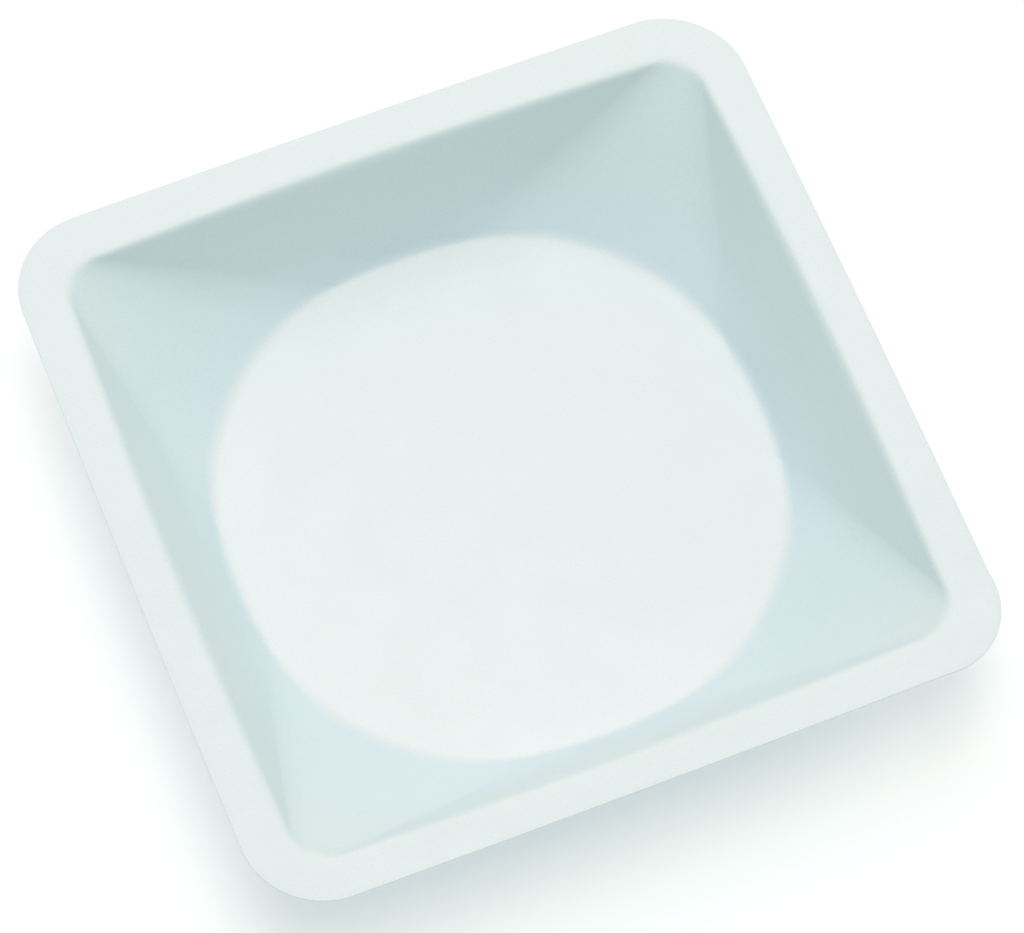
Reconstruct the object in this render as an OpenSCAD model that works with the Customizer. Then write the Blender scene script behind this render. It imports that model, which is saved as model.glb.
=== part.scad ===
// Square weighing boat: a shallow dish formed from one thin sheet of plastic.
// A flat rim surrounds a square opening. Four leaning walls run down from it and blend,
// over cone-shaped corners, into a flat floor that is nearly round.
// Millimetres, +Z up. The origin is the centre of the floor's underside.

/* [Rim] */
// Outer width of the rim across two opposite sides
side = 140; // [100:1:240]
// Radius of the rim's outer corners
corner_r = 14.8; // [6:0.2:30]
// Radius of the slight outward curve of each outer side
side_curve_r = 5400; // [1000:100:20000]
// Width of the rim at the middle of a side, in to where the wall would meet it sharply
rim_w = 8.1; // [5:0.1:14]

/* [Walls] */
// Overall height, from the underside of the floor to the top of the rim
height = 22; // [14:0.5:36]
// How far the wall leans outwards at the middle of a side, between the floor and the rim
wall_run = 10.9; // [6:0.1:20]
// Radius of the corners of the opening
opening_r = 6.4; // [4:0.2:20]
// Radius of the slight outward curve of each side of the opening
opening_curve_r = 1130; // [500:10:8000]
// Radius over which the wall turns out into the rim
lip_r = 4.2; // [1:0.1:6]

/* [Floor] */
// Length of each side of the floor, between its large corner arcs
floor_flat = 6.8; // [1:0.2:40]
// Radius of the outward curve of that length
floor_curve_r = 250; // [150:10:2000]
// Radius over which the floor turns up into the wall at the middle of a side
heel_r = 5.2; // [1:0.1:8]
// The same radius at the middle of a corner
heel_corner_r = 7.6; // [1:0.1:10]

/* [Sheet] */
// Thickness of the sheet
sheet_t = 0.35; // [0.2:0.05:0.8]

/* [Smoothness] */
// Steps around each eighth of the outline
outline_steps = 12; // [8:1:16]
// Steps across each of the two bends of the section
bend_steps = 5; // [3:1:8]

/* [Hidden] */

// Inner depth, from the top of the rim to the top of the floor
depth = height - sheet_t;
// Half the width of the opening and of the floor, where the wall would meet them sharply
opening_half = side / 2 - rim_w;
floor_half = opening_half - wall_run;
// How strongly the steps of the outline crowd towards the middle of a side, where the
// curves are flattest and the most length lies between one direction and the next
crowding = 2.2;

// An outline is a square whose sides are arcs of radius R and whose corners are arcs of
// radius r, all tangent:
// [half width, R, r, distance of a corner's centre from each axis, angle where a side ends]
function outline(half, R, r) =
    let (c = (sqrt(2 * pow(R - r, 2) - pow(R - half, 2)) - (R - half)) / 2)
    [half, R, r, c, atan2(c, c - half + R)];
rim = outline(side / 2, side_curve_r, corner_r);
opening = outline(opening_half, opening_curve_r, opening_r);
floor_edge = outline(floor_half, floor_curve_r, floor_half - floor_flat / 2);

// Angle of a direction from the axis of the side that it belongs to, from -45 to 45
function from_side(dir) = dir - 90 * round(dir / 90);

// An outline's reach in a direction is the distance from the centre to its tangent line
// there. Its slope is the change of the reach with the direction, per radian, and gives
// how far along that line the outline touches it.
function reach(o, dir) =
    let (a = from_side(dir))
    abs(a) <= o[4] ? (o[0] - o[1]) * cos(a) + o[1] : o[3] * (cos(a) + abs(sin(a))) + o[2];
function slope(o, dir) =
    let (a = from_side(dir))
    abs(a) <= o[4] ? (o[1] - o[0]) * sin(a) : o[3] * (sign(a) * cos(a) - sin(a));

// The wall joins the points of the opening and the floor that face the same way. These
// give its run, its angle above the horizontal, the tangent of half that angle, and the
// slope of that tangent.
function run(dir) = reach(opening, dir) - reach(floor_edge, dir);
function run_slope(dir) = slope(opening, dir) - slope(floor_edge, dir);
function lean(dir) = atan2(depth, run(dir));
function bend(dir) = tan(lean(dir) / 2);
function bend_slope(dir) =
    -(1 + pow(bend(dir), 2)) / 2 * depth * run_slope(dir) / (pow(depth, 2) + pow(run(dir), 2));
function heel(dir) = heel_r + (heel_corner_r - heel_r) * (1 - cos(4 * dir)) / 2;

// The point of an outline at a height, from its reach and slope in a direction
function place(reach, slope, dir, z) =
    [reach * cos(dir) - slope * sin(dir), reach * sin(dir) + slope * cos(dir), z];

// Centres of the bend at the floor, above the sheet, and of the bend at the rim, below it
function heel_centre(dir) = place(
    reach(floor_edge, dir) - heel(dir) * bend(dir),
    slope(floor_edge, dir) - heel(dir) * bend_slope(dir),
    dir, sheet_t + heel(dir));
function lip_centre(dir) = place(
    reach(opening, dir) + lip_r * bend(dir),
    slope(opening, dir) + lip_r * bend_slope(dir),
    dir, height - lip_r);

// Unit vector out of the sheet's underside where the sheet leans at an angle
function below(dir, angle) = [sin(angle) * cos(dir), sin(angle) * sin(dir), -cos(angle)];

// One skin of the sheet in a direction, from the floor's edge out to the rim's: the upper
// skin has a drop of 0, and the lower skin has the sheet's thickness
function heel_point(dir, angle, drop) = heel_centre(dir) + (heel(dir) + drop) * below(dir, angle);
function lip_point(dir, angle, drop) = lip_centre(dir) - (lip_r - drop) * below(dir, angle);
function section(dir, drop) = [
    for (i = [0 : bend_steps]) heel_point(dir, lean(dir) * i / bend_steps, drop),
    for (i = [0 : bend_steps]) lip_point(dir, lean(dir) * (1 - i / bend_steps), drop),
    place(reach(rim, dir), slope(rim, dir), dir, height - drop)
];
function reversed(list) = [for (i = [1 : len(list)]) list[len(list) - i]];

// Directions around the outline: every side runs from one corner's middle to the next
directions = [
    for (quarter = [0 : 3], i = [-outline_steps : outline_steps - 1])
        90 * quarter + 45 * sign(i) * pow(abs(i) / outline_steps, crowding)
];

// The closed sheet: in each direction out along the upper skin and back along the lower
module shell() {
    around = len(directions);
    loops = [for (dir = directions) concat(section(dir, 0), reversed(section(dir, sheet_t)))];
    last = len(loops[0]) - 1;
    function index(i, j) = (i % around) * (last + 1) + j;
    upper_floor = [for (i = [1 : around]) index(around - i, 0)];
    lower_floor = [for (i = [0 : around - 1]) index(i, last)];
    skins = [
        for (i = [0 : around - 1], j = [0 : last - 1], half = [0, 1])
            half == 0
                ? [index(i, j), index(i + 1, j), index(i + 1, j + 1)]
                : [index(i, j), index(i + 1, j + 1), index(i, j + 1)]
    ];
    polyhedron(
        points = [for (loop = loops, point = loop) point],
        faces = concat([upper_floor, lower_floor], skins),
        convexity = 6);
}

// The dish, white with a faint green cast
module boat() {
    color([0.93, 0.95, 0.94]) shell();
}

boat();
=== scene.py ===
"""A square weighing boat of thin white polystyrene, alone on a pale floor under soft studio light."""

import math

import bpy
import numpy as np
from mathutils import Matrix, Vector


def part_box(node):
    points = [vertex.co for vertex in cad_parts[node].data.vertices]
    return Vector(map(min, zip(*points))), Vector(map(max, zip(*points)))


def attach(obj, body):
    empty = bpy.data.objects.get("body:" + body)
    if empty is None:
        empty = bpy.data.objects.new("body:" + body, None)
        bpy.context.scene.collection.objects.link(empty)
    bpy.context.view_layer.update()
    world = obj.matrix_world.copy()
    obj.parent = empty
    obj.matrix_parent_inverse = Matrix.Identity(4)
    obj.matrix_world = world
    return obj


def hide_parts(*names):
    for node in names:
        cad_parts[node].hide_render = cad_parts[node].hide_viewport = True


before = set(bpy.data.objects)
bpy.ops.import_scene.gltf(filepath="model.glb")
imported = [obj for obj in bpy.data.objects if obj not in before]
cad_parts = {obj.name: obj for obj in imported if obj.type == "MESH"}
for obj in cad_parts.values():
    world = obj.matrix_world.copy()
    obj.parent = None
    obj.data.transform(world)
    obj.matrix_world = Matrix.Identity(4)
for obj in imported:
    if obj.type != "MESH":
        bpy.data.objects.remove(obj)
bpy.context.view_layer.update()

MM = 0.001
LOW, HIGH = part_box("boat")

# ---------------------------------------------------------------- sizes, in metres
SIDE = HIGH.x - LOW.x
RIM_TOP = HIGH.z
SHEET = 0.35 * MM
RIM_W = 7.9 * MM
WALL_RUN = 11.1 * MM
HEEL_TANGENT = 2.8 * MM
LIP_TANGENT = 2.3 * MM
BEND_TIGHTNESS = 0.8
EDGE_R = 0.1 * MM
FLOOR_R, FLOOR_SQUARENESS, FLOOR_SHOULDERS = 51.62 * MM, 0.5 * MM, 0.17 * MM
ROUNDING_HEIGHT = 7 * MM
OPENING_OFF_CENTRE = np.array([0.1, -0.6, 0]) * MM
# how far out each corner of the rim bulges: far right, far left, near left, near right
CORNER_FULLNESS = np.array([-0.45, 0.05, -0.1, 1.0]) * MM

# the arcs of an eighth of each outline, from the middle of a side: radius, and degrees where it ends
RIM_ARCS = [(5400 * MM, 0.584)]
OPENING_ARCS = [(1700 * MM, 1.84)]
WALL_FOOT_ARCS = [(520 * MM, 1.32), (26 * MM, 37)]

# how finely the sheet is meshed
EIGHTH_STEPS, CROWDING = 56, 2.2
FLOOR_RINGS, BEND_STEPS, WALL_STEPS, RIM_STEPS, EDGE_STEPS = 14, 16, 8, 6, 4

# the floor of the studio
FLOOR_HALF = 4.0
FLOOR_GAP = 0.1 * MM

# ---------------------------------------------------------------- finish
# colours of the sheet, linear, the walls' ones darker and bluer with painted cool shade and, towards
# their foot, painted bounce light; and the shares of its height between which a wall's colour changes
RIM_TINT, FLOOR_TINT = (0.801, 0.863, 0.861), (0.819, 0.863, 0.868)
WALL_HEAD_PAINTED_SHADE, WALL_FOOT_PAINTED_SHADE_AND_BOUNCE = (0.741, 0.851, 0.852), (0.724, 0.846, 0.888)
TINT_FROM, TINT_TO = 0.2, 0.85
# how level the skin is, from 0 to 1, where it stops being wall with painted shade and where it is
# floor or rim
PAINTED_SHADE_UP_TO, NO_PAINTED_SHADE_FROM = 0.84, 0.97
# a fine grain in colour and height, and an uneven gloss, as roughness
GRAIN_SCALE, GRAIN_DARK = 2600, 0.955
GRAIN_DEPTH, GRAIN_STRENGTH = 0.02 * MM, 0.25
REFRACTIVE_INDEX = 1.59
SATIN_SCALE, SATIN_LEAST, SATIN_MOST = 90, 0.38, 0.47
# the surroundings
WORLD_COLOUR, WORLD_STRENGTH = (0.84, 0.97, 1), 0.5
FLOOR_GREY, FLOOR_ROUGHNESS, FLOOR_GLOW = 0.9, 0.9, 0.2

# the camera, in degrees, metres and millimetres of lens
CAMERA_ELEVATION, CAMERA_AZIMUTH, CAMERA_ROLL = 64.99, -23.52, 1.70
CAMERA_DISTANCE, CAMERA_LENS = 0.9237, 184.63
CAMERA_TARGET = Vector((-0.00006, -0.0052, RIM_TOP))


# ---------------------------------------------------------------- the form of the sheet
def directions():
    """The directions around the boat, closest together at the middle of each side."""
    step = np.arange(-EIGHTH_STEPS, EIGHTH_STEPS)
    eighth = math.pi / 4 * np.sign(step) * (abs(step) / EIGHTH_STEPS) ** CROWDING
    return np.concatenate([eighth + quarter * math.pi / 2 for quarter in range(4)])


def outline(half, arcs, z):
    """The points where a rounded square faces each direction. Its side and corners are tangent
    arcs, and the last radius, at the corner's middle, is the one that closes the outline."""
    way = directions()
    quarter = math.pi / 2
    from_side = way - quarter * np.round(way / quarter)
    turned = abs(from_side)
    across, back, start = 0 * way, 0 * way, 0.0
    end_across, end_back = 0.0, 0.0
    ends = [(radius, math.radians(degrees)) for radius, degrees in arcs]
    for radius, end in ends + [(None, math.pi / 4)]:
        chord_across = math.sin(end) - math.sin(start)
        chord_back = math.cos(start) - math.cos(end)
        if radius is None:
            radius = (half - end_across - end_back) / (chord_across + chord_back)
        reached = np.clip(turned, start, end)
        across = across + radius * (np.sin(reached) - math.sin(start))
        back = back + radius * (math.cos(start) - np.cos(reached))
        end_across += radius * chord_across
        end_back += radius * chord_back
        start = end
    along = np.sign(from_side) * across
    side = way - from_side
    x = (half - back) * np.cos(side) - along * np.sin(side)
    y = (half - back) * np.sin(side) + along * np.cos(side)
    return np.stack([x, y, np.full_like(x, z)], -1)


def bend(first, pull_1, pull_2, last):
    """Rings of a bend that leaves its first ring towards one pull and enters its last from another."""
    rings = []
    for t in np.linspace(0, 1, BEND_STEPS + 1):
        rings.append((1 - t) ** 3 * first + 3 * (1 - t) ** 2 * t * pull_1
                     + 3 * (1 - t) * t**2 * pull_2 + t**3 * last)
    return rings


def between(first, last, steps):
    """The rings that divide the way from one ring to another evenly, without those two."""
    return [first + (last - first) * step / steps for step in range(1, steps)]


def outward():
    """The level unit vectors that point away from the middle in each direction."""
    way = directions()
    return np.stack([np.cos(way), np.sin(way), 0 * way], -1)


def rim_edge():
    """The edge of the rim's flat top, a rounded square whose four corners bulge unequally."""
    way = directions()
    corner = np.floor(way / (math.pi / 2)).astype(int) % 4
    bulge = CORNER_FULLNESS[corner] * abs(np.sin(2 * way))
    return outline(SIDE / 2 - EDGE_R, RIM_ARCS, RIM_TOP) + outward() * bulge[:, None]


def upper_skin():
    """The rings of the upper skin, from the first one round the floor's middle to the rim's edge,
    and which of them lie on the level floor or rim."""
    rim = rim_edge()
    opening = outline(SIDE / 2 - RIM_W, OPENING_ARCS, RIM_TOP) + OPENING_OFF_CENTRE
    wall_foot = outline(SIDE / 2 - RIM_W - WALL_RUN, WALL_FOOT_ARCS, SHEET)
    outwards = outward()
    up_wall = opening - wall_foot
    up_wall /= np.linalg.norm(up_wall, axis=1)[:, None]

    level = np.array([0, 0, SHEET])
    ease = 1 - BEND_TIGHTNESS
    heel = bend(wall_foot - outwards * HEEL_TANGENT, wall_foot - outwards * HEEL_TANGENT * ease,
                wall_foot + up_wall * HEEL_TANGENT * ease, wall_foot + up_wall * HEEL_TANGENT)
    lip = bend(opening - up_wall * LIP_TANGENT, opening - up_wall * LIP_TANGENT * ease,
               opening + outwards * LIP_TANGENT * ease, opening + outwards * LIP_TANGENT)
    middle = np.zeros_like(rim) + level
    rings = between(middle, heel[0], FLOOR_RINGS) + heel + between(heel[-1], lip[0], WALL_STEPS)
    rings += lip + between(lip[-1], rim, RIM_STEPS) + [rim]
    flat = [ring < FLOOR_RINGS or ring >= len(rings) - RIM_STEPS - 1 for ring in range(len(rings))]
    return round_floor(np.array(rings), wall_foot), np.array(flat)


def round_floor(rings, wall_foot):
    """Draws the floor's edge in to a nearly round line, and the foot of the wall with it, less and
    less up to the rounding height."""
    def polar(points):
        return np.arctan2(points[..., 1], points[..., 0]), np.hypot(points[..., 0], points[..., 1])

    bearing, reach = polar(rings)
    foot_bearing, foot_reach = polar(wall_foot)
    floor_reach = (FLOOR_R - FLOOR_SQUARENESS * np.cos(4 * foot_bearing)
                   - FLOOR_SHOULDERS * np.cos(8 * foot_bearing))
    excess = np.maximum(foot_reach - floor_reach, 0)
    excess = np.interp(bearing, foot_bearing, excess, period=2 * math.pi)
    foot_reach = np.interp(bearing, foot_bearing, foot_reach, period=2 * math.pi)
    rise = np.clip((rings[..., 2] - SHEET) / ROUNDING_HEIGHT, 0, 1)
    share = np.minimum(reach / foot_reach, 1) * (1 - rise**2 * (3 - 2 * rise))
    scale = 1 - excess * share / np.maximum(reach, 1 * MM)
    return rings * np.stack([scale, scale, np.ones_like(scale)], -1)


def lower_skin(upper, flat):
    """The upper skin's rings, each point moved through the sheet's thickness."""
    along = np.roll(upper, -1, 1) - np.roll(upper, 1, 1)
    outwards = np.empty_like(upper)
    outwards[1:-1] = upper[2:] - upper[:-2]
    outwards[0], outwards[-1] = outwards[1], outwards[-2]
    normal = np.cross(outwards, along)
    normal[flat] = [0, 0, 1]
    normal /= np.linalg.norm(normal, axis=2)[:, :, None]
    return upper - normal * SHEET


def cut_edge(rim):
    """The rings round the rim's cut edge, from the upper skin's last ring to the lower one's."""
    outwards, up = outward(), np.array([0, 0, 1])
    rings = []
    for turn in np.linspace(0, math.pi / 2, EDGE_STEPS + 1)[1:]:
        rings.append(rim + outwards * EDGE_R * math.sin(turn) - up * EDGE_R * (1 - math.cos(turn)))
    mirrored = [ring * [1, 1, -1] + up * (2 * RIM_TOP - SHEET) for ring in rings[::-1]]
    return rings + mirrored


def sheet_rings():
    """All rings of the closed sheet: over the upper skin, round the edge, and back underneath."""
    upper, flat = upper_skin()
    return [*upper, *cut_edge(upper[-1]), *lower_skin(upper, flat)[::-1]]


def build_sheet(material):
    """The boat as one closed mesh of rings, with a fan at the middle of the floor on each skin."""
    rings = sheet_rings()
    around = len(rings[0])
    middle_top, middle_under = len(rings) * around, len(rings) * around + 1
    points = np.concatenate(rings + [[[0, 0, SHEET], [0, 0, 0]]])
    faces = []
    for i in range(around):
        j = (i + 1) % around
        faces.append((middle_top, i, j))
        for ring in range(len(rings) - 1):
            a, b = ring * around, (ring + 1) * around
            faces.append((a + i, b + i, b + j, a + j))
        faces.append((middle_under, a + around + j, a + around + i))
    mesh = bpy.data.meshes.new("sheet")
    mesh.from_pydata(points.tolist(), [], faces)
    mesh.update()
    mesh.shade_smooth()
    mesh.materials.append(material)
    boat = bpy.data.objects.new("formed_sheet", mesh)
    bpy.context.scene.collection.objects.link(boat)
    return boat


# ---------------------------------------------------------------- materials
def new_material(name):
    material = bpy.data.materials.new(name)
    material.use_nodes = True
    tree = material.node_tree
    shader = tree.nodes["Principled BSDF"]
    return material, tree, shader


def add(tree, kind, **values):
    """A new node with some of its inputs set by name."""
    node = tree.nodes.new(kind)
    for name, value in values.items():
        node.inputs[name.replace("_", " ")].default_value = value
    return node


def ramp(tree, factor, stops):
    """A colour ramp over a factor, from (position, colour) stops."""
    node = tree.nodes.new("ShaderNodeValToRGB")
    elements = node.color_ramp.elements
    while len(elements) < len(stops):
        elements.new(0.5)
    for element, (position, colour) in zip(elements, stops):
        element.position = position
        element.color = (*colour, 1)
    tree.links.new(factor, node.inputs["Fac"])
    return node.outputs["Color"]


def maths(tree, operation, first, second):
    """The result of a sum on a linked value and a number."""
    node = tree.nodes.new("ShaderNodeMath")
    node.operation = operation
    tree.links.new(first, node.inputs[0])
    node.inputs[1].default_value = second
    return node.outputs["Value"]


def blend(tree, kind, factor, first, second):
    """Two linked colours blended by a factor, which is a number or linked."""
    node = tree.nodes.new("ShaderNodeMix")
    node.data_type = "RGBA"
    node.blend_type = kind
    for value, socket in ((factor, node.inputs[0]), (first, node.inputs[6]), (second, node.inputs[7])):
        if isinstance(value, float):
            socket.default_value = value
        else:
            tree.links.new(value, socket)
    return node.outputs[2]


def polystyrene():
    """White formed polystyrene: satin and faintly green, with painted cool shade that makes the walls
    darker and bluer, and more painted bounce light towards their foot, with a fine grain and a
    slightly uneven gloss."""
    material, tree, shader = new_material("white_polystyrene_painted_wall_shade")
    shader.inputs["IOR"].default_value = REFRACTIVE_INDEX
    place_in = tree.nodes.new("ShaderNodeTexCoord")
    spot = tree.nodes.new("ShaderNodeSeparateXYZ")
    facing = tree.nodes.new("ShaderNodeSeparateXYZ")
    tree.links.new(place_in.outputs["Object"], spot.inputs["Vector"])
    tree.links.new(place_in.outputs["Normal"], facing.inputs["Vector"])

    height = maths(tree, "DIVIDE", spot.outputs["Z"], RIM_TOP)
    levelness = maths(tree, "ABSOLUTE", facing.outputs["Z"], 0)
    # the walls take painted cool shade, bluer towards their foot as painted bounce light; the
    # levelness ramp is the mask that keeps it off the floor and rim
    wall_painted_shade = ramp(tree, height, [(TINT_FROM, WALL_FOOT_PAINTED_SHADE_AND_BOUNCE), (TINT_TO, WALL_HEAD_PAINTED_SHADE)])
    level = ramp(tree, levelness, [(PAINTED_SHADE_UP_TO, (0, 0, 0)), (NO_PAINTED_SHADE_FROM, (1, 1, 1))])
    flat = ramp(tree, height, [(TINT_FROM, FLOOR_TINT), (TINT_TO, RIM_TINT)])
    colour = blend(tree, "MIX", level, wall_painted_shade, flat)

    grain = add(tree, "ShaderNodeTexNoise", Scale=GRAIN_SCALE, Detail=3)
    tree.links.new(place_in.outputs["Object"], grain.inputs["Vector"])
    specks = ramp(tree, grain.outputs["Fac"], [(0.3, [GRAIN_DARK] * 3), (0.7, (1, 1, 1))])
    colour = blend(tree, "MULTIPLY", 1.0, colour, specks)
    tree.links.new(colour, shader.inputs["Base Color"])

    haze = add(tree, "ShaderNodeTexNoise", Scale=SATIN_SCALE, Detail=4)
    tree.links.new(place_in.outputs["Object"], haze.inputs["Vector"])
    satin = ramp(tree, haze.outputs["Fac"], [(0.35, [SATIN_LEAST] * 3), (0.65, [SATIN_MOST] * 3)])
    tree.links.new(satin, shader.inputs["Roughness"])
    skin = add(tree, "ShaderNodeBump", Strength=GRAIN_STRENGTH, Distance=GRAIN_DEPTH)
    tree.links.new(grain.outputs["Fac"], skin.inputs["Height"])
    tree.links.new(skin.outputs["Normal"], shader.inputs["Normal"])
    return material


# ---------------------------------------------------------------- studio
def studio_floor():
    """A plain pale floor that lies just under the boat, so that the two faces don't coincide."""
    material, _, shader = new_material("pale_floor")
    shader.inputs["Base Color"].default_value = (FLOOR_GREY, FLOOR_GREY, FLOOR_GREY, 1)
    shader.inputs["Roughness"].default_value = FLOOR_ROUGHNESS
    shader.inputs["Emission Color"].default_value = (1, 1, 1, 1)
    shader.inputs["Emission Strength"].default_value = FLOOR_GLOW
    half, level = FLOOR_HALF, LOW.z - FLOOR_GAP
    corners = [(-half, -half, level), (half, -half, level), (half, half, level), (-half, half, level)]
    mesh = bpy.data.meshes.new("floor")
    mesh.from_pydata(corners, [], [(0, 1, 2, 3)])
    mesh.materials.append(material)
    floor = bpy.data.objects.new("floor", mesh)
    bpy.context.scene.collection.objects.link(floor)


def area_light(name, centre, size, watts, colour):
    """A rectangular light that faces the boat."""
    data = bpy.data.lights.new(name, "AREA")
    data.shape = "RECTANGLE"
    data.size, data.size_y = size
    data.energy = watts
    data.color = colour
    light = bpy.data.objects.new(name, data)
    light.location = centre
    light.rotation_euler = (-Vector(centre)).to_track_quat("-Z", "Y").to_euler()
    bpy.context.scene.collection.objects.link(light)


def studio_light():
    """Soft light from overhead, from beyond the boat and from its right, with a fill all round."""
    world = bpy.data.worlds.new("studio")
    bpy.context.scene.world = world
    world.use_nodes = True
    background = world.node_tree.nodes["Background"]
    background.inputs["Color"].default_value = (*WORLD_COLOUR, 1)
    background.inputs["Strength"].default_value = WORLD_STRENGTH
    area_light("overhead", (0, 0, 1.8), (1.2, 1.2), 10.5, (1, 0.93, 0.82))
    area_light("beyond", (0.3, 0.9, 1.5), (1.2, 0.9), 6.4, (0.8, 0.86, 0.96))
    area_light("beyond_left", (-0.7, 1.0, 1.1), (0.9, 0.9), 1.4, (1, 0.8, 0.8))
    area_light("beyond_low", (0.35, 1.4, 0.9), (1.2, 0.8), 2.8, (1, 0.5, 0.25))
    area_light("right", (1.5, 0.1, 0.9), (0.9, 0.9), 2.6, (1, 0.78, 0.65))


def camera():
    """The camera looks down at the boat from its front left."""
    elevation, azimuth, roll = map(math.radians, (CAMERA_ELEVATION, CAMERA_AZIMUTH, CAMERA_ROLL))
    back = Vector((math.sin(azimuth) * math.cos(elevation), -math.cos(azimuth) * math.cos(elevation),
                   math.sin(elevation)))
    right = Vector((math.cos(azimuth), math.sin(azimuth), 0))
    up = back.cross(right)
    turned_right = right * math.cos(roll) + up * math.sin(roll)
    turned_up = up * math.cos(roll) - right * math.sin(roll)
    data = bpy.data.cameras.new("camera")
    data.lens, data.sensor_width = CAMERA_LENS, 36
    data.clip_start, data.clip_end = 0.01, 20
    view = bpy.data.objects.new("camera", data)
    view.matrix_world = (Matrix.Translation(CAMERA_TARGET + back * CAMERA_DISTANCE)
                         @ Matrix((turned_right, turned_up, back)).transposed().to_4x4())
    bpy.context.scene.collection.objects.link(view)
    bpy.context.scene.camera = view


camera()
studio_floor()
studio_light()
bpy.context.scene.view_settings.view_transform = "Standard"
boat = build_sheet(polystyrene())
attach(boat, "root")
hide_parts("boat")
